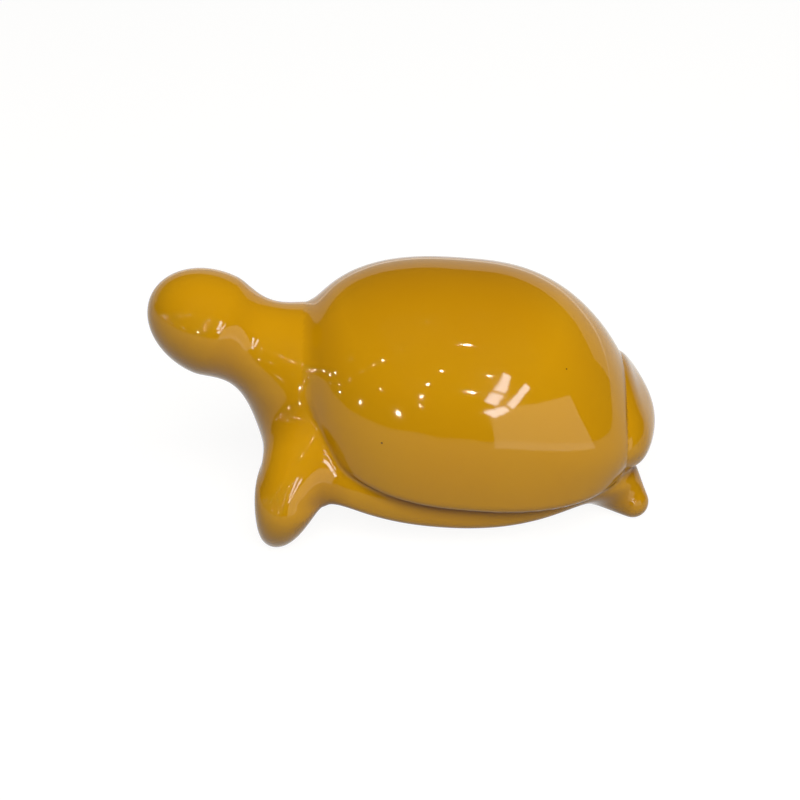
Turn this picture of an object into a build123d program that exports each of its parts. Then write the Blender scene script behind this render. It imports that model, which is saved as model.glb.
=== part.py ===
from build123d import *
import os
from math import acos, cos, degrees, radians, sin

# The turtle faces -X, its left side is towards -Y and its feet stand on Z = 0.

# carapace: half-oval sections across the body, shrinking to a point at the front and at the rear;
# tapers say how its top falls to the ends, powers how square its plan is, rims how its seat rises
shell_front_x = -60.7
shell_front_z = 91.5
shell_rear_x = 127.3
shell_rear_z = 74.1
shell_middle_x = 36.9
shell_half_width = 77.0
shell_rise = 57.6
shell_sink = 53.6
shell_front_taper = 1.4
shell_rear_taper = 2.25
shell_front_power = 2.61
shell_rear_power = 2.56
shell_front_rim = 1.0
shell_rear_rim = 0.58
shell_wall = 8.0
shell_core_drop = 12.0
core_rear_rim = 1.0
rim_round = 3.0

# tail lip at the rear of the carapace
lip_inset = 5.3
lip_drop = 30.5
lip_reach = 23.7
lip_half_width = 39.4
lip_half_height = 20.3
lip_power = 2.0

# trunk: a hull with a shallow full belly, set in all round under the rim, and a nose under the neck
trunk_nose = 23.1
trunk_tail = 0.7
rim_step = 5.1
trunk_rise = 45.0
trunk_sink = 15.0
belly_clearance = 3.8
trunk_end_lift = 20.0
trunk_slope = -0.08
trunk_power = 2.5
trunk_wall = 7.0
belly_fullness = 0.685

# ledge and tongue on the trunk that carry and locate the carapace
tongue_gap = 0.4
tongue_thick = 4.0
tongue_height = 6.0
tongue_front_margin = 42.6
tongue_rear_margin = 35.8
tongue_stations = 7
tongue_core_drop = 24.0
ledge_inset = 4.0
ledge_thick = 5.0

# belly vent, which lets air out of the hollow body in the kiln
vent_radius = 4.0

# head and neck: turned about a straight axis that rises towards the front
neck_inset = 31.1
neck_drop = 32.2
neck_tilt = 29.9
neck_root_radius = 19.9
neck_root_flare = 0.1
neck_collar_along = 32.7
neck_collar_radius = 38.0
neck_throat_along = 67.0
neck_throat_radius = 26.8
head_along = 91.4
head_radius = 30.0
head_nose = 39.0
neck_wall = 7.0
neck_core_along = 60.0

# legs: places on the centre line, behind the trunk's front end, in from its left side and above the table
front_foot_place = (10.3, 6.6, 8.7)
front_knee_place = (15.4, 5.7, 27.9)
front_shoulder_place = (21.3, 22.4, 42.6)
front_root_place = (37.1, 38.4, 49.7)
front_foot_radius = 10.2
front_knee_radius = 16.2
front_shoulder_radius = 16.2
front_root_radius = 17.2
# and ahead of the trunk's rear end
rear_foot_place = (-4.9, 32.9, 7.6)
rear_knee_place = (12.7, 42.9, 20.5)
rear_hip_place = (30.1, 39.7, 35.2)
rear_foot_radius = 9.1
rear_knee_radius = 17.0
rear_hip_radius = 19.7
limb_step = 0.2

# joints: a hollow tenon on each limb goes through a hole in the trunk wall
slip_gap = 0.3
neck_tenon_radius = 9.0
neck_tenon_bore = 5.0
neck_tenon_length = 38.0
neck_tenon_lean = 24.0
front_tenon_place = (37.4, 35.2, 41.2)
front_tenon_radius = 8.0
front_tenon_length = 35.0
rear_tenon_place = (24.6, 52.0, 25.0)
rear_tenon_radius = 5.2
rear_tenon_length = 34.0
leg_bore = 3.5

# along its length a form is set out by an angle: -90 at its front end, 0 in the middle, 90 at its rear end
station_angles = (-84, -72, -48, -24, 0, 24, 48, 72, 84)
# share of its box at which the handle of a quarter curve makes it an ellipse
oval_fullness = 0.5523

# what follows from these sizes
lip_middle_x = shell_rear_x - lip_inset
lip_middle_z = shell_rear_z - lip_drop
trunk_front_x = shell_front_x - trunk_nose
trunk_rear_x = shell_rear_x - trunk_tail
trunk_middle_x = (trunk_front_x + trunk_rear_x) / 2
trunk_reach = (trunk_rear_x - trunk_front_x) / 2
trunk_half_width = shell_half_width - rim_step
trunk_middle_z = belly_clearance + trunk_sink
tongue_front_x = shell_front_x + tongue_front_margin
tongue_rear_x = shell_rear_x - tongue_rear_margin
neck_root_x = shell_front_x + neck_inset
neck_root_z = shell_front_z - neck_drop


# part of the full section that is left at a place from -1 at a form's front end to 1 at its rear end
def section_share(run, power):
    return (1 - abs(run) ** power) ** (1 / power)


# height of the carapace's middle line
def shell_line(x):
    run = (x - shell_front_x) / (shell_rear_x - shell_front_x)
    return shell_front_z + (shell_rear_z - shell_front_z) * run


# height of the carapace's seat
def seat_height(x):
    ahead = x < shell_middle_x
    end = shell_front_x if ahead else shell_rear_x
    power = shell_front_power if ahead else shell_rear_power
    rim = shell_front_rim if ahead else shell_rear_rim
    share = section_share((x - shell_middle_x) / (end - shell_middle_x), power)
    return shell_line(x) - shell_sink * share**rim


# height of the trunk's widest line
def trunk_line(x):
    run = (x - trunk_middle_x) / trunk_reach
    return trunk_middle_z + trunk_slope * (x - trunk_middle_x) + trunk_end_lift * run * run


# height of the tail lip's widest line
def lip_line(x):
    return lip_middle_z


# sections of a dome set in from the outside of the carapace, with the power that lifts its base at the rear
def dome_sections(inset, sink, corner, rear_rim):
    front = shell_front_x + inset
    rear = shell_rear_x - inset
    sections = [Vertex(front, 0, shell_line(front))]
    for angle in station_angles:
        run = sin(radians(angle))
        end = front if angle < 0 else rear
        taper = shell_front_taper if angle < 0 else shell_rear_taper
        power = shell_front_power if angle < 0 else shell_rear_power
        rim = shell_front_rim if angle < 0 else rear_rim
        share = section_share(run, power)
        x = shell_middle_x + abs(end - shell_middle_x) * run
        top = shell_line(x) + (shell_rise - inset) * share**taper
        base = shell_line(x) - sink * share**rim
        side = base + corner * share
        width = (shell_half_width - inset) * share
        flat = width - corner * share
        shoulder = side + oval_fullness * (top - side)
        heel = side - oval_fullness * corner * share
        toe = flat + oval_fullness * corner * share
        with BuildSketch(Plane.YZ.offset(x)) as section:
            with BuildLine():
                Bezier((width, side), (width, shoulder), (oval_fullness * width, top), (0, top))
                Bezier((0, top), (-oval_fullness * width, top), (-width, shoulder), (-width, side))
                if corner > 0:
                    Bezier((-width, side), (-width, heel), (-toe, base), (-flat, base))
                    Bezier((flat, base), (toe, base), (width, heel), (width, side))
                Line((-flat, base), (flat, base))
            make_face()
        sections.append(section.sketch)
    sections.append(Vertex(rear, 0, shell_line(rear)))
    return sections


# sections of an egg-like form: an oval top and an underside that may be fuller
def egg_sections(middle_x, reach, half_width, rise, sink, power, fullness, line):
    sections = [Vertex(middle_x - reach, 0, line(middle_x - reach))]
    for angle in station_angles:
        run = sin(radians(angle))
        share = section_share(run, power)
        x = middle_x + reach * run
        z = line(x)
        width = half_width * share
        top = z + rise * share
        low = z - sink * share
        top_handle = z + oval_fullness * rise * share
        low_handle = z - fullness * sink * share
        with BuildSketch(Plane.YZ.offset(x)) as section:
            with BuildLine():
                Bezier((width, z), (width, top_handle), (oval_fullness * width, top), (0, top))
                Bezier((0, top), (-oval_fullness * width, top), (-width, top_handle), (-width, z))
                Bezier((-width, z), (-width, low_handle), (-fullness * width, low), (0, low))
                Bezier((0, low), (fullness * width, low), (width, low_handle), (width, z))
            make_face()
        sections.append(section.sketch)
    sections.append(Vertex(middle_x + reach, 0, line(middle_x + reach)))
    return sections


# half outlines of a leg's lengths, each with its axis: a ball at each end and the cone that touches both;
# a length starts a little thinner than the one before it ends, so that no two faces lie on each other
def limb_outlines(points, radii):
    outlines = []
    for start, end, full_radius, end_radius in zip(points, points[1:], radii, radii[1:]):
        start_radius = full_radius - limb_step
        along = Vector(*end) - Vector(*start)
        touch = degrees(acos((start_radius - end_radius) / along.length))
        with BuildSketch(Plane(origin=start, x_dir=along, z_dir=along.cross(Vector(1, 0, 0)))) as outline:
            with BuildLine():
                near = CenterArc((0, 0), start_radius, touch, 180 - touch)
                far = CenterArc((along.length, 0), end_radius, 0, touch)
                Line(near @ 0, far @ 1)
                Line(near @ 1, far @ 0)
            make_face()
        outlines.append((outline.sketch, Axis(start, along)))
    return outlines


# a place near the trunk's front left corner, and one near its rear left corner
def front_point(place):
    return (trunk_front_x + place[0], place[1] - trunk_half_width, place[2])


def rear_point(place):
    return (trunk_rear_x - place[0], place[1] - trunk_half_width, place[2])


# the same point on the turtle's other side
def other_side(point):
    return (point[0], -point[1], point[2])


os.makedirs("parts", exist_ok=True)

dome = dome_sections(0, shell_sink, rim_round, shell_rear_rim)
dome_core = dome_sections(shell_wall, shell_sink + shell_core_drop, 0, core_rear_rim)
lip = egg_sections(
    lip_middle_x,
    lip_reach,
    lip_half_width,
    lip_half_height,
    lip_half_height,
    lip_power,
    oval_fullness,
    lip_line,
)
with BuildPart() as shell_form:
    loft(sections=dome)
    loft(sections=lip)

with BuildPart() as carapace:
    add(shell_form.part)
    loft(sections=dome_core, mode=Mode.SUBTRACT)
carapace.part.label = "carapace"
export_step(carapace.part, "parts/carapace.step")

hull = egg_sections(
    trunk_middle_x,
    trunk_reach,
    trunk_half_width,
    trunk_rise,
    trunk_sink,
    trunk_power,
    belly_fullness,
    trunk_line,
)
with BuildPart() as trunk_form:
    loft(sections=hull)

neck_plane = Plane(
    origin=(neck_root_x, 0, neck_root_z),
    x_dir=(-cos(radians(neck_tilt)), 0, sin(radians(neck_tilt))),
    z_dir=(0, 1, 0),
)
neck_axis = Axis(neck_plane.origin, neck_plane.x_dir)
neck_tenon_plane = Plane(
    origin=neck_plane.from_local_coords((neck_core_along, 0, 0)),
    z_dir=(sin(radians(neck_tenon_lean)), 0, -cos(radians(neck_tenon_lean))),
)
with BuildPart() as head_and_neck:
    with BuildSketch(neck_plane):
        with BuildLine():
            outside = Spline(
                (0, neck_root_radius),
                (neck_collar_along, neck_collar_radius),
                (neck_throat_along, neck_throat_radius),
                (head_along, head_radius),
                tangents=((1, neck_root_flare), (1, 0)),
            )
            nose = EllipticalCenterArc((head_along, 0), head_nose, head_radius, start_angle=0, arc_size=90)
            Line(nose @ 0, (0, 0))
            Line((0, 0), outside @ 0)
        make_face()
    revolve(axis=neck_axis)
    add(trunk_form.part, mode=Mode.SUBTRACT)
    add(shell_form.part, mode=Mode.SUBTRACT)
    with BuildSketch(neck_tenon_plane):
        Circle(neck_tenon_radius)
    extrude(amount=neck_tenon_length)
    with BuildSketch(neck_plane):
        with BuildLine():
            inside = Spline(
                (neck_core_along, neck_throat_radius - neck_wall),
                (head_along, head_radius - neck_wall),
                tangents=((1, 0), (1, 0)),
            )
            inner_nose = EllipticalCenterArc(
                (head_along, 0), head_nose - neck_wall, head_radius - neck_wall, start_angle=0, arc_size=90
            )
            Line(inner_nose @ 0, (neck_core_along, 0))
            Line((neck_core_along, 0), inside @ 0)
        make_face()
    revolve(axis=neck_axis, mode=Mode.SUBTRACT)
    with BuildSketch(neck_tenon_plane):
        Circle(neck_tenon_bore)
    extrude(amount=neck_tenon_length, mode=Mode.SUBTRACT)
head_and_neck.part.label = "head_and_neck"
export_step(head_and_neck.part, "parts/head_and_neck.step")


# a tenon, or with a gap its socket, from its inner end towards the limb
def tenon_form(inner, outer, radius, length):
    with BuildPart() as form:
        with BuildSketch(Plane(origin=inner, z_dir=Vector(*outer) - Vector(*inner))):
            Circle(radius)
        extrude(amount=length)
    return form.part


# a front leg from its places: foot, knee, shoulder and root, then the tenon's inner end and its aim
def front_leg(foot, knee, shoulder, root, inner, aim):
    radii = (front_foot_radius, front_knee_radius, front_shoulder_radius, front_root_radius)
    with BuildPart() as leg:
        for outline, axis in limb_outlines((foot, knee, shoulder, root), radii):
            revolve(outline, axis=axis)
        split(bisect_by=Plane.XY, keep=Keep.TOP)
        add(trunk_form.part, mode=Mode.SUBTRACT)
        add(shell_form.part, mode=Mode.SUBTRACT)
        add(head_and_neck.part, mode=Mode.SUBTRACT)
        add(tenon_form(inner, aim, front_tenon_radius, front_tenon_length))
        add(tenon_form(inner, aim, leg_bore, front_tenon_length), mode=Mode.SUBTRACT)
        with BuildLine() as bore_line:
            Spline(aim, knee, foot)
        with BuildSketch(Plane(origin=bore_line.line @ 0, z_dir=bore_line.line % 0)):
            Circle(leg_bore)
        sweep(path=bore_line.line, mode=Mode.SUBTRACT)
    return leg.part


# a rear leg from its places: foot, knee and hip, then the inner end of the tenon, which aims at the foot
def rear_leg(foot, knee, hip, inner):
    radii = (rear_foot_radius, rear_knee_radius, rear_hip_radius)
    with BuildPart() as leg:
        for outline, axis in limb_outlines((foot, knee, hip), radii):
            revolve(outline, axis=axis)
        split(bisect_by=Plane.XY, keep=Keep.TOP)
        add(trunk_form.part, mode=Mode.SUBTRACT)
        add(shell_form.part, mode=Mode.SUBTRACT)
        add(tenon_form(inner, foot, rear_tenon_radius, rear_tenon_length))
        add(tenon_form(inner, foot, leg_bore, rear_tenon_length), mode=Mode.SUBTRACT)
    return leg.part


front_places = (
    front_foot_place,
    front_knee_place,
    front_shoulder_place,
    front_root_place,
    front_tenon_place,
    tuple((Vector(*front_shoulder_place) + Vector(*front_knee_place)) * 0.5),
)
front_left_points = [front_point(place) for place in front_places]
front_right_points = [other_side(point) for point in front_left_points]
with BuildPart() as front_left_leg:
    add(front_leg(*front_left_points))
front_left_leg.part.label = "front_left_leg"
export_step(front_left_leg.part, "parts/front_left_leg.step")

with BuildPart() as front_right_leg:
    add(front_leg(*front_right_points))
front_right_leg.part.label = "front_right_leg"
export_step(front_right_leg.part, "parts/front_right_leg.step")

rear_places = (rear_foot_place, rear_knee_place, rear_hip_place, rear_tenon_place)
rear_left_points = [rear_point(place) for place in rear_places]
rear_right_points = [other_side(point) for point in rear_left_points]
with BuildPart() as rear_left_leg:
    add(rear_leg(*rear_left_points))
rear_left_leg.part.label = "rear_left_leg"
export_step(rear_left_leg.part, "parts/rear_left_leg.step")

with BuildPart() as rear_right_leg:
    add(rear_leg(*rear_right_points))
rear_right_leg.part.label = "rear_right_leg"
export_step(rear_right_leg.part, "parts/rear_right_leg.step")

# bands along the seat: one for the tongue inside the carapace, one for the ledge below it
tongue_step = (tongue_rear_x - tongue_front_x) / (tongue_stations - 1)
seat_line = [tongue_front_x + tongue_step * station for station in range(tongue_stations)]
with BuildSketch(Plane.XZ) as tongue_band:
    with BuildLine():
        upper = Spline(*[(x, seat_height(x) + tongue_height) for x in seat_line])
        lower = Spline(*[(x, seat_height(x) - ledge_thick) for x in seat_line])
        Line(upper @ 0, lower @ 0)
        Line(upper @ 1, lower @ 1)
    make_face()
with BuildSketch(Plane.XZ) as ledge_band:
    with BuildLine():
        upper = Spline(*[(x, seat_height(x) + slip_gap) for x in seat_line])
        lower = Spline(*[(x, seat_height(x) - ledge_thick) for x in seat_line])
        Line(upper @ 0, lower @ 0)
        Line(upper @ 1, lower @ 1)
    make_face()

tongue_inset = shell_wall + tongue_gap
tongue_outside = dome_sections(tongue_inset, shell_sink + shell_core_drop, 0, core_rear_rim)
tongue_inside = dome_sections(tongue_inset + tongue_thick, shell_sink + tongue_core_drop, 0, core_rear_rim)
ledge_outside = dome_sections(ledge_inset, shell_sink + shell_core_drop, 0, core_rear_rim)
with BuildPart() as tongue:
    loft(sections=tongue_outside)
    loft(sections=tongue_inside, mode=Mode.SUBTRACT)
    extrude(tongue_band.sketch, amount=shell_half_width, both=True, mode=Mode.INTERSECT)

with BuildPart() as ledge:
    loft(sections=ledge_outside)
    extrude(ledge_band.sketch, amount=shell_half_width, both=True, mode=Mode.INTERSECT)
    loft(sections=tongue_inside, mode=Mode.SUBTRACT)
    add(carapace.part, mode=Mode.SUBTRACT)

hull_core = egg_sections(
    trunk_middle_x,
    trunk_reach - trunk_wall,
    trunk_half_width - trunk_wall,
    trunk_rise - trunk_wall,
    trunk_sink - trunk_wall,
    trunk_power,
    belly_fullness,
    trunk_line,
)
with BuildPart() as trunk:
    add(trunk_form.part)
    loft(sections=hull_core, mode=Mode.SUBTRACT)
    add(shell_form.part, mode=Mode.SUBTRACT)
    add(ledge.part)
    add(tongue.part)
    with BuildSketch(neck_tenon_plane):
        Circle(neck_tenon_radius + slip_gap)
    extrude(amount=neck_tenon_length, mode=Mode.SUBTRACT)
    for points in (front_left_points, front_right_points):
        inner, aim = points[4:]
        add(tenon_form(inner, aim, front_tenon_radius + slip_gap, front_tenon_length), mode=Mode.SUBTRACT)
    for points in (rear_left_points, rear_right_points):
        foot, inner = points[0], points[3]
        add(tenon_form(inner, foot, rear_tenon_radius + slip_gap, rear_tenon_length), mode=Mode.SUBTRACT)
    with Locations((trunk_middle_x, 0, trunk_middle_z)):
        Hole(vent_radius, depth=trunk_middle_z)
trunk.part.label = "trunk"
export_step(trunk.part, "parts/trunk.step")
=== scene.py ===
import math

import bpy
import numpy as np
from mathutils import Matrix, Vector


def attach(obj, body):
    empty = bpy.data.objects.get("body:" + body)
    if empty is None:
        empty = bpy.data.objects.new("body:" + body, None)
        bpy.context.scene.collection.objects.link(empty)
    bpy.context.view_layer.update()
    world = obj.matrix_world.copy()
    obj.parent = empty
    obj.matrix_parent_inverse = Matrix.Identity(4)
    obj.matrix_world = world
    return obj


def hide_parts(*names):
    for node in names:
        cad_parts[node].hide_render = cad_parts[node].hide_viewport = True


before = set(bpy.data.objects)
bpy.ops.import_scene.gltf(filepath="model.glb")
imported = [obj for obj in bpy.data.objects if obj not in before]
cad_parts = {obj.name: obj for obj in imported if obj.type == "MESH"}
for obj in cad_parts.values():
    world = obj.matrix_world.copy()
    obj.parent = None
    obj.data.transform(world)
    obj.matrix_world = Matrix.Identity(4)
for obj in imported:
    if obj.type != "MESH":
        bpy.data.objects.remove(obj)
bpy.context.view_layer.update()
print("frame loaded:", len(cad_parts), "nodes")

# Every form is a field in millimetres: about the distance to its surface, below zero inside the clay.
# The pieces share one field for the whole turtle, so their skins run into each other as slipped joints do.


# the lower of two fields, with the corner between them filled over a width of k
def softMin(a, b, k):
    h = np.maximum(k - np.abs(a - b), 0) / k
    return np.minimum(a, b) - h ** 3 * k / 6


# the higher of two fields, with the edge between them rounded over a width of k
def softMax(a, b, k):
    return -softMin(-a, -b, k)


# egg with three half axes: how far out the point is as a share of the egg, turned to a length
def eggField(q, middle, half):
    tiny = 1e-9
    p = (q - np.array(middle)) / np.array(half)
    share = np.linalg.norm(p, axis=1) + tiny
    slope = np.linalg.norm(p / np.array(half), axis=1) + tiny
    return share * (share - 1) / slope


carapace = dict(frontX=-60.7, frontZ=91.5, rearX=127.3, rearZ=74.1, middleX=36.9,
                halfWidth=76.9, rise=56.8, sink=53.6, frontTaper=1.4, rearTaper=2.25,
                frontPower=2.61, rearPower=2.56, frontRim=1.0, rearRim=0.58, rimRound=8.0,
                endInset=1.0, endFlat=3.0, endRound=20.0,
                lipMiddle=(107.0, 0.0, 44.0), lipHalf=(37.0, 50.0, 22.5), lipRound=44.0,
                centre=(38.0, 0.0, 66.0), arms=(96.0, 74.0, 60.0), rows=260, columns=350)


# half ellipses across, as wide as a squared-off round plan and as high as a power of that,
# cut off and rounded at the rim and at both ends, with an egg run into the rear end for the tail lip
def carapaceField(q):
    c = carapace
    x, y, z = q.T
    beyond = np.maximum(c["frontX"] + c["endInset"] - x, x - c["rearX"] + c["endInset"])
    x = np.clip(x, c["frontX"] + c["endFlat"], c["rearX"] - c["endFlat"])
    ahead = x < c["middleX"]
    reach = np.where(ahead, c["middleX"] - c["frontX"], c["rearX"] - c["middleX"])
    power = np.where(ahead, c["frontPower"], c["rearPower"])
    share = (1 - (np.abs(x - c["middleX"]) / reach) ** power) ** (1 / power)
    slope = (c["rearZ"] - c["frontZ"]) / (c["rearX"] - c["frontX"])
    drop = c["sink"] * share ** np.where(ahead, c["frontRim"], c["rearRim"])
    rim = c["frontZ"] + slope * (x - c["frontX"]) - drop
    up = c["rise"] * share ** np.where(ahead, c["frontTaper"], c["rearTaper"]) + drop
    wide = c["halfWidth"] * share
    dome = (np.hypot(y / wide, np.maximum(z - rim, 0) / up) - 1) * np.minimum(wide, up)
    dome = softMax(dome, beyond, c["endRound"])
    dome = softMax(dome, rim - z, c["rimRound"])
    return softMin(dome, eggField(q, c["lipMiddle"], c["lipHalf"]), c["lipRound"])


trunk = dict(middleX=21.4, middleZ=18.8, reach=105.2, halfWidth=71.9, rise=45.0, sink=15.0,
             endLift=20.0, liftCap=1.5, slope=-0.08, planPower=2.5, bellyPower=2.49, backPower=2.0,
             ventRadius=4.0, ventDepth=5.0, ventRound=2.0,
             centre=(22.0, 0.0, 28.0), arms=(98.0, 68.0, 24.0), rows=200, columns=240)


# boat hull: a round upper half and a squarer lower half about a line that lifts at both ends,
# with a squared-off plan
def trunkField(q):
    t = trunk
    tiny = 1e-6
    x, y, z = q.T
    along = (x - t["middleX"]) / t["reach"]
    lift = t["endLift"] * np.minimum(along ** 2, t["liftCap"])
    height = z - t["middleZ"] - t["slope"] * (x - t["middleX"]) - lift
    below = height < 0
    power = np.where(below, t["bellyPower"], t["backPower"])
    deep = np.where(below, t["sink"], t["rise"])
    across = np.abs(y) / t["halfWidth"] + tiny
    upright = np.abs(height) / deep + tiny
    ring = (across ** power + upright ** power) ** (1 / power)
    plan = t["planPower"]
    share = (np.abs(along) ** plan + ring ** plan) ** (1 / plan)
    lean = (ring / share) ** (plan - 1)
    slope = np.sqrt(((np.abs(along) / share) ** (plan - 1) / t["reach"]) ** 2
                    + (lean * (across / ring) ** (power - 1) / t["halfWidth"]) ** 2
                    + (lean * (upright / ring) ** (power - 1) / deep) ** 2)
    return (share - 1) / slope


neck = dict(root=(-29.6, 0.0, 59.3), tilt=29.9, along=(0.0, 32.7, 67.0, 91.4),
            radius=(19.9, 38.0, 26.8, 29.9), rootSlope=0.1, headSlope=0.0, nose=38.8, middle=64.0,
            arms=(68.0, 30.0, 30.0), rows=300, columns=290)
neckAxis = np.array([-math.cos(math.radians(neck["tilt"])), 0, math.sin(math.radians(neck["tilt"]))])
neck["centre"] = np.array(neck["root"]) + neck["middle"] * neckAxis
powers = np.arange(6)
neckRows = [np.power(float(s), powers) for s in neck["along"]]
for s in (0.0, neck["along"][3]):
    neckRows.append(powers * np.power(max(s, 1e-9), np.maximum(powers - 1.0, 0)))
neckCurve = np.linalg.solve(np.array(neckRows), neck["radius"] + (neck["rootSlope"], neck["headSlope"]))


# turned form: a fifth-power curve gives the radius along a straight line, with half an egg for the nose
def neckField(q):
    n = neck
    p = q - np.array(n["root"])
    s = p @ neckAxis
    out = np.linalg.norm(p - s[:, None] * neckAxis, axis=1)
    end = n["along"][3]
    t = np.clip(s, 0, end)
    radius = np.polynomial.polynomial.polyval(t, neckCurve)
    slope = np.polynomial.polynomial.polyval(t, neckCurve[1:] * powers[1:])
    side = (out - radius) / np.sqrt(1 + slope ** 2)
    flat = np.column_stack([s - end, out, 0 * s])
    nose = eggField(flat, (0, 0, 0), (n["nose"], n["radius"][3], 1))
    back = np.hypot(out, s) - n["radius"][0]
    return np.where(s > end, nose, np.where(s < 0, back, side))


# points from the foot up to the root inside the trunk: x, y, z and radius
frontLeg = dict(points=((-73.5, -65.3, 8.7, 10.2), (-68.4, -64.6, 27.9, 15.8),
                        (-62.5, -49.5, 42.6, 16.2), (-46.7, -33.5, 49.7, 17.2)),
                centre=(-68.5, -63.0, 28.0), arms=(20.0, 20.0, 20.0), rows=200, columns=220)
rearLeg = dict(points=((131.5, -39.0, 7.6, 9.1), (113.9, -29.0, 20.5, 17.0),
                       (96.5, -32.2, 35.2, 19.7), (78.4, -34.0, 40.0, 20.0)),
               centre=(114.0, -31.0, 20.5), arms=(28.0, 17.0, 17.0), rows=120, columns=140)
legSearch = dict(farOff=45.0, places=9, turns=4, narrowing=0.3)


# cubic centre line and radius through four places: distance to the line less the radius, at the nearest
# place on it, which is found on a coarse row of places and then closed in on with parabolas
def legField(q, leg):
    points = np.array(leg["points"])
    steps = np.linalg.norm(np.diff(points[:, :3], axis=0), axis=1)
    place = np.concatenate([[0], np.cumsum(steps)]) / steps.sum()
    curve = np.linalg.solve(np.vander(place, 4, increasing=True), points)
    q = np.column_stack([q[:, 0], -np.abs(q[:, 1]), q[:, 2]])  # both sides at once
    middle = points[:, :3].mean(0)
    reach = np.linalg.norm(points[:, :3] - middle, axis=1).max()
    field = np.linalg.norm(q - middle, axis=1) - reach - points[:, 3].max()
    near = field < legSearch["farOff"]  # further off, a ball round the leg is close enough
    q = q[near]

    def gap(t):
        t = np.clip(t, 0, 1)[:, None]
        at = curve[0] + t * (curve[1] + t * (curve[2] + t * curve[3]))
        return np.linalg.norm(q - at[:, :3], axis=1) - at[:, 3]

    coarse = np.linspace(0, 1, legSearch["places"])
    best = coarse[np.argmin([gap(np.full(len(q), t)) for t in coarse], axis=0)]
    width = coarse[1]
    for turn in range(legSearch["turns"]):
        low, mid, high = gap(best - width), gap(best), gap(best + width)
        bend = np.maximum(low - 2 * mid + high, 1e-9)
        best = np.clip(best + np.clip(0.5 * (low - high) / bend, -1, 1) * width, 0, 1)
        width *= legSearch["narrowing"]
    field[near] = gap(best)
    return field


whole = dict(bodyFill=dict(neck=26.0, frontLeg=31.0, rearLeg=26.0),
             rimFill=(4.0, 16.0), rimFillZ=(60.0, 95.0), footRound=1.5,
             lap=2.0, slip=0.04, dive=3.0)


# all the forms at a set of points, and the whole turtle: limbs filled into the trunk, then the carapace
# on top, with a crisp crease under its sides and a soft one on the neck, then the vent in the belly,
# and all of it cut off at the table so that the feet stand flat
def allFields(q):
    parts = dict(trunk=trunkField(q), neck=neckField(q),
                 frontLeg=legField(q, frontLeg), rearLeg=legField(q, rearLeg))
    body = parts["trunk"]
    for name, fill in whole["bodyFill"].items():
        body = softMin(body, parts[name], fill)
    shell = carapaceField(q)
    skin = softMin(body, shell, np.interp(q[:, 2], whole["rimFillZ"], whole["rimFill"]))
    vent = np.maximum(np.hypot(q[:, 0] - trunk["middleX"], q[:, 1]) - trunk["ventRadius"],
                      q[:, 2] - trunk["middleZ"] + trunk["sink"] - trunk["ventDepth"])
    skin = softMax(skin, -vent, trunk["ventRound"])
    return parts, body, shell, softMax(skin, -q[:, 2], whole["footRound"])


def wholeField(q):
    return allFields(q)[3]


# one piece's own field: the whole turtle's, pushed inwards wherever a neighbour is nearer than this piece,
# so each skin ends at the line where the two are equally near: it laps a little way under its neighbour,
# then dives
def pieceField(q, own):
    parts, body, shell, skin = allFields(q)
    if own == "carapace":
        over = shell - body
    else:
        others = np.min([parts[name] for name in parts if name != own], axis=0)
        over = np.maximum(parts[own] - others, body - shell)
    return skin + whole["slip"] * np.maximum(over, 0) + whole["dive"] * np.maximum(over - whole["lap"], 0)


# the last pair of distances is where the painted shade for hollows and creases is measured, out from the
# skin
rayWalk = dict(step=0.1, farthest=8.0, turns=9, keepOff=0.03, normalStep=0.05, shadeReach=(5.0, 12.0))


# globe of rays from a centre, poles on the first arm: point = centre + t * (cos a * arm0
# + sin a * (cos b * arm1 + sin b * arm2)), with t stepped out until the piece's field turns positive
# and then closed in on that crossing
def castSkin(own, spec, arms):
    w = rayWalk
    arms = arms * np.array(spec["arms"])[:, None]
    a = np.linspace(0, math.pi, spec["rows"] + 1)[1:-1, None, None]
    b = (np.arange(spec["columns"]) * 2 * math.pi / spec["columns"])[None, :, None]
    rings = np.cos(a) * arms[0] + np.sin(a) * (np.cos(b) * arms[1] + np.sin(b) * arms[2])
    rays = np.concatenate([arms[:1], rings.reshape(-1, 3), -arms[:1]])
    centre = np.array(spec["centre"])
    inside, outside = np.zeros(len(rays)), np.full(len(rays), np.nan)
    for t in np.arange(w["step"], w["farthest"], w["step"]):
        going = np.flatnonzero(np.isnan(outside))
        if not len(going):
            break
        value = pieceField(centre + t * rays[going], own)
        outside[going[value > 0]] = t
        inside[going[value <= 0]] = t
    low = pieceField(centre + inside[:, None] * rays, own)
    high = pieceField(centre + outside[:, None] * rays, own)
    # two guesses on a straight line between the ends, then one half way, over and over
    for turn in range(w["turns"]):
        share = 0.5 if turn % 3 == 2 else np.clip(low / (low - high), w["keepOff"], 1 - w["keepOff"])
        t = inside + share * (outside - inside)
        value = pieceField(centre + t[:, None] * rays, own)
        inside, low = np.where(value > 0, inside, t), np.where(value > 0, low, value)
        outside, high = np.where(value > 0, t, outside), np.where(value > 0, value, high)
    t = inside + low / np.minimum(low - high, -1e-9) * (outside - inside)
    points = centre + t[:, None] * rays
    sideSteps = w["normalStep"] * np.eye(3)
    normals = np.column_stack([wholeField(points + s) - wholeField(points - s) for s in sideSteps])
    normals /= np.linalg.norm(normals, axis=1)[:, None] + 1e-12
    # painted shade in hollows and creases: how much nearer the skin is, some way out, than it would be off a
    # flat face
    nearer = [1 - wholeField(points + d * normals) / d for d in w["shadeReach"]]
    return points, normals, np.clip(np.mean(nearer, axis=0), 0, 1)


print("fields ready")


# one small step of a node tree: a node, its settings, and its inputs as values or as sockets to link
def addNode(tree, kind, inputs=None, **settings):
    node = tree.nodes.new(kind)
    for key, value in settings.items():
        setattr(node, key, value)
    for key, value in (inputs or {}).items():
        if isinstance(value, bpy.types.NodeSocket):
            tree.links.new(value, node.inputs[key])
        else:
            node.inputs[key].default_value = value
    return node


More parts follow.
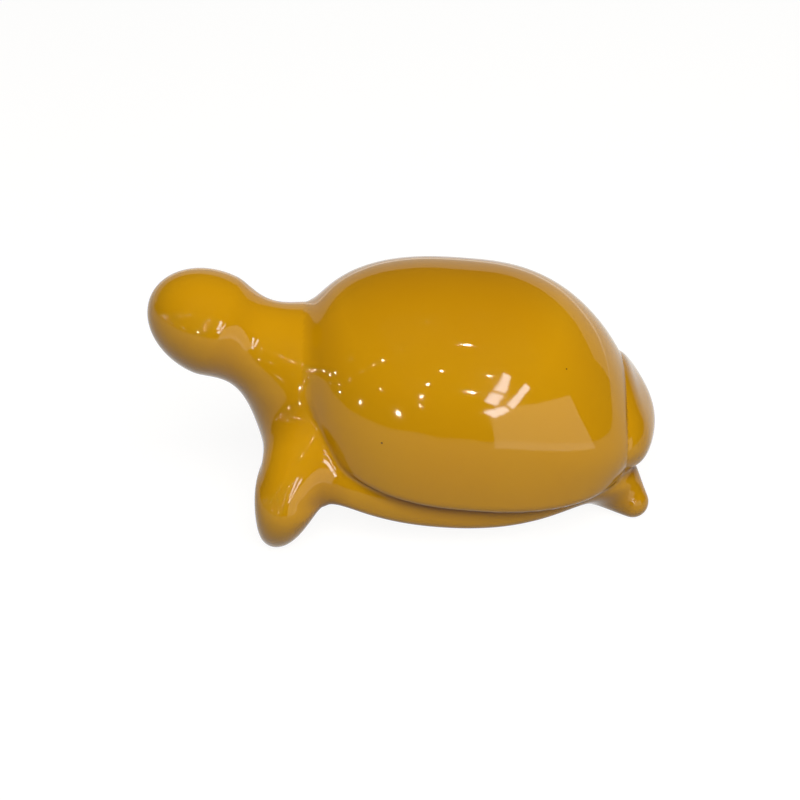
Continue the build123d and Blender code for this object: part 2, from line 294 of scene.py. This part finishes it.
# sRGB hex to linear red, green, blue and alpha
def linear(hexColour):
    parts = [int(hexColour[i:i + 2], 16) / 255 for i in (1, 3, 5)]
    return [c / 12.92 if c <= 0.04045 else ((c + 0.055) / 1.055) ** 2.4 for c in parts] + [1.0]


def newMaterial(name):
    material = bpy.data.materials.new(name)
    material.use_nodes = True
    material.node_tree.nodes.clear()
    return material, material.node_tree


# sizes and depths in millimetres
# the darkest brown is painted shade, laid on in hollows and creases
glaze = dict(ochre="#cc9706", warm="#c68d03", paintedShade="#7a4a00", speck="#3d2a0c", clay="#cbb594",
             driftSize=60.0, shadeFrom=0.1, shadeTo=0.65, shadeMost=0.85,
             speckSpacing=17.0, speckRadius=0.42, speckEdge=1.6, speckShare=0.22, bareHeight=0.45,
             cloudSize=22.0, cloudFrom=0.35, cloudTo=0.7, roughLow=0.035, roughHigh=0.075, clayRough=0.75,
             sagSize=28.0, sagDepth=0.35, peelSize=7.0, peelDepth=0.02, ior=1.46, mirrorLevel=0.3)


# Ochre glaze over slip-cast earthenware, dipped and fired glossy: a deep even yellow-brown with painted
# shade darkening it in hollows and creases, mirror-like with a faint sag, a few dark specks, and wiped bare
# under the feet.
def makeGlaze():
    g = glaze
    material, tree = newMaterial("ochre_glazed_earthenware")
    place = addNode(tree, "ShaderNodeTexCoord").outputs["Object"]
    # painted shade in hollows and creases follows the attribute that castSkin works out
    creaseShade = addNode(tree, "ShaderNodeAttribute", attribute_name="creaseShade")
    paintedShade = addNode(tree, "ShaderNodeMapRange", {0: creaseShade.outputs["Fac"], 1: g["shadeFrom"], 2: g["shadeTo"],
                                                  3: 0.0, 4: g["shadeMost"]})
    # specks: one random place in each cell, kept in a share of the cells, as wide as a pinhole
    speckSize = g["speckRadius"] / g["speckSpacing"]
    cells = addNode(tree, "ShaderNodeTexVoronoi", {"Vector": place, "Scale": 1000 / g["speckSpacing"]})
    spot = addNode(tree, "ShaderNodeMapRange", {0: cells.outputs["Distance"], 1: speckSize,
                                                2: g["speckEdge"] * speckSize, 3: 1.0, 4: 0.0})
    tint = addNode(tree, "ShaderNodeSeparateColor", {0: cells.outputs["Color"]})
    kept = addNode(tree, "ShaderNodeMath", {0: tint.outputs[0], 1: g["speckShare"]}, operation="LESS_THAN")
    speck = addNode(tree, "ShaderNodeMath", {0: spot.outputs[0], 1: kept.outputs[0]}, operation="MULTIPLY")
    # bare clay where the feet stand
    axes = addNode(tree, "ShaderNodeSeparateXYZ", {0: place})
    wiped = addNode(tree, "ShaderNodeMapRange", {0: axes.outputs["Z"], 1: g["bareHeight"] / 1000,
                                                 2: 2 * g["bareHeight"] / 1000, 3: 1.0, 4: 0.0})
    # colour: the glaze drifts between two ochres, with the painted crease shade, the specks and the bare
    # clay laid over it one by one
    drift = addNode(tree, "ShaderNodeTexNoise", {"Vector": place, "Scale": 1000 / g["driftSize"],
                                                 "Detail": 3.0})
    colour = addNode(tree, "ShaderNodeMix", {0: drift.outputs["Fac"], 6: linear(g["ochre"]),
                                             7: linear(g["warm"])}, data_type="RGBA")
    for share, coat in ((paintedShade, "paintedShade"), (speck, "speck"), (wiped, "clay")):
        colour = addNode(tree, "ShaderNodeMix", {0: share.outputs[0], 6: colour.outputs[2],
                                                 7: linear(g[coat])}, data_type="RGBA")
    # gloss with a faint cloudiness, matt on the bare clay
    cloud = addNode(tree, "ShaderNodeTexNoise", {"Vector": place, "Scale": 1000 / g["cloudSize"],
                                                 "Detail": 4.0})
    rough = addNode(tree, "ShaderNodeMapRange", {0: cloud.outputs["Fac"], 1: g["cloudFrom"], 2: g["cloudTo"],
                                                 3: g["roughLow"], 4: g["roughHigh"]})
    rough = addNode(tree, "ShaderNodeMix", {0: wiped.outputs[0], 2: rough.outputs[0], 3: g["clayRough"]})
    # surface: slow sags of the melted glaze and a shallow orange peel
    sag = addNode(tree, "ShaderNodeTexNoise", {"Vector": place, "Scale": 1000 / g["sagSize"],
                                               "Detail": 1.0})
    bump = addNode(tree, "ShaderNodeBump", {"Strength": 1.0, "Distance": g["sagDepth"] / 1000,
                                            "Height": sag.outputs["Fac"]})
    peel = addNode(tree, "ShaderNodeTexNoise", {"Vector": place, "Scale": 1000 / g["peelSize"],
                                                "Detail": 1.0})
    bump = addNode(tree, "ShaderNodeBump", {"Strength": 1.0, "Distance": g["peelDepth"] / 1000,
                                            "Height": peel.outputs["Fac"], "Normal": bump.outputs[0]})
    shader = addNode(tree, "ShaderNodeBsdfPrincipled",
                     {"Base Color": colour.outputs[2], "Roughness": rough.outputs[0], "IOR": g["ior"],
                      "Specular IOR Level": g["mirrorLevel"], "Normal": bump.outputs[0]})
    addNode(tree, "ShaderNodeOutputMaterial", {"Surface": shader.outputs[0]})
    return material


glazeMaterial = makeGlaze()
print("glaze mixed")


# puts a cast skin into a mesh: rings of four-sided faces, closed round, with a fan at each pole
def addPiece(name, spec, skin, mirrored=False):
    points, normals, creaseShade = skin
    count, columns = spec["rows"] - 1, spec["columns"]
    ring = 1 + np.arange(count)[:, None] * columns + np.arange(columns)[None, :]
    after = np.roll(ring, -1, axis=1)
    quads = np.stack([ring[:-1], ring[1:], after[1:], after[:-1]], axis=-1).reshape(-1, 4)
    first = np.stack([0 * ring[0], ring[0], after[0]], axis=-1)
    last = np.stack([0 * ring[0] + len(points) - 1, after[-1], ring[-1]], axis=-1)
    if mirrored:
        points, normals = points * [1, -1, 1], normals * [1, -1, 1]
        quads, first, last = quads[:, ::-1], first[:, ::-1], last[:, ::-1]
    mesh = bpy.data.meshes.new(name)
    mesh.from_pydata((points / 1000).tolist(), [], quads.tolist() + first.tolist() + last.tolist())
    mesh.shade_smooth()
    mesh.normals_split_custom_set_from_vertices(normals.tolist())
    # the painted shade for hollows and creases goes on the mesh as a point attribute
    mesh.attributes.new("creaseShade", "FLOAT", "POINT").data.foreach_set("value", creaseShade.astype(np.float32))
    mesh.materials.append(glazeMaterial)
    piece = bpy.data.objects.new(name, mesh)
    bpy.context.scene.collection.objects.link(piece)
    return piece


# three arms at right angles, the first along the axis given
def armsAlong(axis):
    first = np.array(axis) / np.linalg.norm(axis)
    second = np.cross((0, 0, 1), first)
    second /= np.linalg.norm(second)
    return np.array([first, second, np.cross(first, second)])


pieces = {}
skin = castSkin("carapace", carapace, np.eye(3))
pieces["carapace"] = addPiece("carapace_glazed", carapace, skin)
skin = castSkin("trunk", trunk, np.eye(3))
pieces["trunk"] = addPiece("trunk_glazed", trunk, skin)
skin = castSkin("neck", neck, armsAlong(neckAxis))
pieces["head_and_neck"] = addPiece("head_and_neck_glazed", neck, skin)
for end, leg in (("front", frontLeg), ("rear", rearLeg)):
    footward = np.array(leg["points"][0][:3]) - leg["centre"]
    skin = castSkin(end + "Leg", leg, armsAlong(footward))
    pieces[end + "_left_leg"] = addPiece(end + "_left_leg_glazed", leg, skin)
    pieces[end + "_right_leg"] = addPiece(end + "_right_leg_glazed", leg, skin, mirrored=True)
for node, piece in pieces.items():
    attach(piece, "root")
    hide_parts(node)
print("pieces cast:", ", ".join(pieces))

stageSpec = dict(floorHalf=6.0, floorColour="#6e6e6c", floorGlow=0.91,
                 worldColour="#f4f2ee", worldStrength=0.12)


# plain pale floor: matt, and lifted to white where it is seen or mirrored, so that the bounce under the
# belly stays low
def makeFloor():
    material, tree = newMaterial("pale_matt_floor")
    rays = addNode(tree, "ShaderNodeLightPath").outputs
    seen = addNode(tree, "ShaderNodeMath", {0: rays["Is Camera Ray"], 1: rays["Is Glossy Ray"]},
                   operation="ADD")
    seen = addNode(tree, "ShaderNodeMath", {0: seen.outputs[0], 1: rays["Is Transmission Ray"]},
                   operation="ADD", use_clamp=True)
    lift = addNode(tree, "ShaderNodeMath", {0: seen.outputs[0], 1: stageSpec["floorGlow"]},
                   operation="MULTIPLY")
    matt = addNode(tree, "ShaderNodeBsdfDiffuse", {"Color": linear(stageSpec["floorColour"])})
    glow = addNode(tree, "ShaderNodeEmission", {"Strength": lift.outputs[0]})
    both = addNode(tree, "ShaderNodeAddShader", {0: matt.outputs[0], 1: glow.outputs[0]})
    addNode(tree, "ShaderNodeOutputMaterial", {"Surface": both.outputs[0]})
    half = stageSpec["floorHalf"]
    corners = [(-half, -half, 0), (half, -half, 0), (half, half, 0), (-half, half, 0)]
    mesh = bpy.data.meshes.new("floor")
    mesh.from_pydata(corners, [], [(0, 1, 2, 3)])
    mesh.materials.append(material)
    floor = bpy.data.objects.new("floor", mesh)
    bpy.context.scene.collection.objects.link(floor)
    return floor


makeFloor()

world = bpy.data.worlds.new("studio")
bpy.context.scene.world = world
world.use_nodes = True
background = world.node_tree.nodes["Background"].inputs
background["Color"].default_value = linear(stageSpec["worldColour"])
background["Strength"].default_value = stageSpec["worldStrength"]
print("floor and world set")

lookPoint = Vector((-0.0036, 0.0, 0.0524))


# direction round the object: azimuth from the camera's side towards +X and elevation above the table,
# in degrees
def towards(azimuth, elevation):
    a, e = math.radians(azimuth), math.radians(elevation)
    return Vector((math.sin(a) * math.cos(e), -math.cos(a) * math.cos(e), math.sin(e)))


# flat lamp facing the object, its long side along the line between two directions: one that makes a glint
# on the glaze, or one that gives the even light
def addLamp(name, start, end, distance, width, radiance, colour, shape="RECTANGLE", glint=True):
    a, b = towards(*start) * distance, towards(*end) * distance
    middle = (a + b) / 2
    facing = -middle.normalized()
    longSide = (b - a) if (b - a).length > 1e-6 else facing.orthogonal()
    length = max((b - a).length, width)
    longSide = (longSide - longSide.dot(facing) * facing).normalized()
    light = bpy.data.lights.new(name, "AREA")
    light.shape = shape
    light.size = length
    if shape == "RECTANGLE":
        light.size_y = width
    area = length * width if shape == "RECTANGLE" else math.pi * length ** 2 / 4
    light.energy = radiance * math.pi * area
    light.color = linear(colour)[:3]
    lamp = bpy.data.objects.new(name, light)
    axes = (longSide, (-facing).cross(longSide), -facing)
    lamp.matrix_world = Matrix.Translation(lookPoint + middle) @ Matrix(axes).transposed().to_4x4()
    lamp.visible_camera = False
    lamp.visible_glossy = glint
    lamp.visible_diffuse = not glint
    bpy.context.scene.collection.objects.link(lamp)


# each lamp's two ends as azimuth and elevation, and its distance and width in metres
keyPanel = dict(start=(16, 32), end=(16, 80), distance=1.7, width=1.8, radiance=3.2, colour="#fffaf2",
                glint=False)
backWall = dict(start=(110, 5), end=(250, 5), distance=3.0, width=0.6, radiance=0.8, colour="#fbf6ee")
paleCard = dict(start=(12, 6), end=(62, 6), distance=0.9, width=0.36, radiance=2.6, colour="#fff4e2")
strips = dict(ends=dict(left=((13, 20), (25, 36)), right=((11, 13), (35, 28))),
              parts=(("Low", 0.0, 0.3), ("High", 0.36, 1.0)),
              look=dict(distance=1.4, width=0.09, radiance=22.0, colour="#f1f2ff"))
# azimuth, elevation and size as a share of the width
bulbs = dict(places=((4, 37, 1.0), (-2, 28, 1.0), (-5, 21, 1.1), (-6, 16, 0.9), (-16, 9, 1.7), (9, 25, 0.9),
                     (16, 35, 0.8), (-30, 39, 1.0), (-40, 8, 1.2), (-68, 13, 1.0), (17, 55, 0.9),
                     (-74, 8, 0.7), (-62, 9, 0.7), (-80, 6, 0.8), (-72, 4, 0.6), (-60, 5, 0.6),
                     (-2, 74, 0.5), (-36, 34, 0.6), (-27, 21, 0.6), (-52, 17, 0.6), (-44, 27, 0.4),
                     (-58, 30, 0.4), (-20, 50, 0.4), (-50, 44, 0.4)),
             width=0.026, look=dict(distance=1.6, radiance=320.0, colour="#fff1d8", shape="DISK"))
# broad even light from above and in front, and a pale wall behind that the top of the carapace mirrors
addLamp("keyPanel", **keyPanel)
addLamp("backWall", **backWall)
# tall bright strips, each with a dark bar across it a third of the way up, a pale card and small bulbs
for side, (low, high) in strips["ends"].items():
    for part, first, last in strips["parts"]:
        ends = [tuple(a + share * (b - a) for a, b in zip(low, high)) for share in (first, last)]
        addLamp(side + "Strip" + part, *ends, **strips["look"])
addLamp("paleCard", **paleCard)
for number, (azimuth, elevation, size) in enumerate(bulbs["places"]):
    spot = (azimuth, elevation)
    addLamp("bulb" + str(number), spot, spot, width=bulbs["width"] * size, **bulbs["look"])
print("lamps placed")

cameraSpec = dict(elevation=35.0, azimuth=0.0, distance=0.9, lens=69.2, sensor=36.0, clipEnd=50.0)
camera = bpy.data.objects.new("camera", bpy.data.cameras.new("camera"))
camera.data.lens = cameraSpec["lens"]
camera.data.sensor_width = cameraSpec["sensor"]
camera.data.clip_end = cameraSpec["clipEnd"]
back = towards(cameraSpec["azimuth"], cameraSpec["elevation"])
camera.location = lookPoint + back * cameraSpec["distance"]
camera.rotation_euler = (-back).to_track_quat("-Z", "Y").to_euler()
bpy.context.scene.collection.objects.link(camera)
bpy.context.scene.camera = camera
bpy.context.scene.view_settings.view_transform = "Standard"
print("camera set")
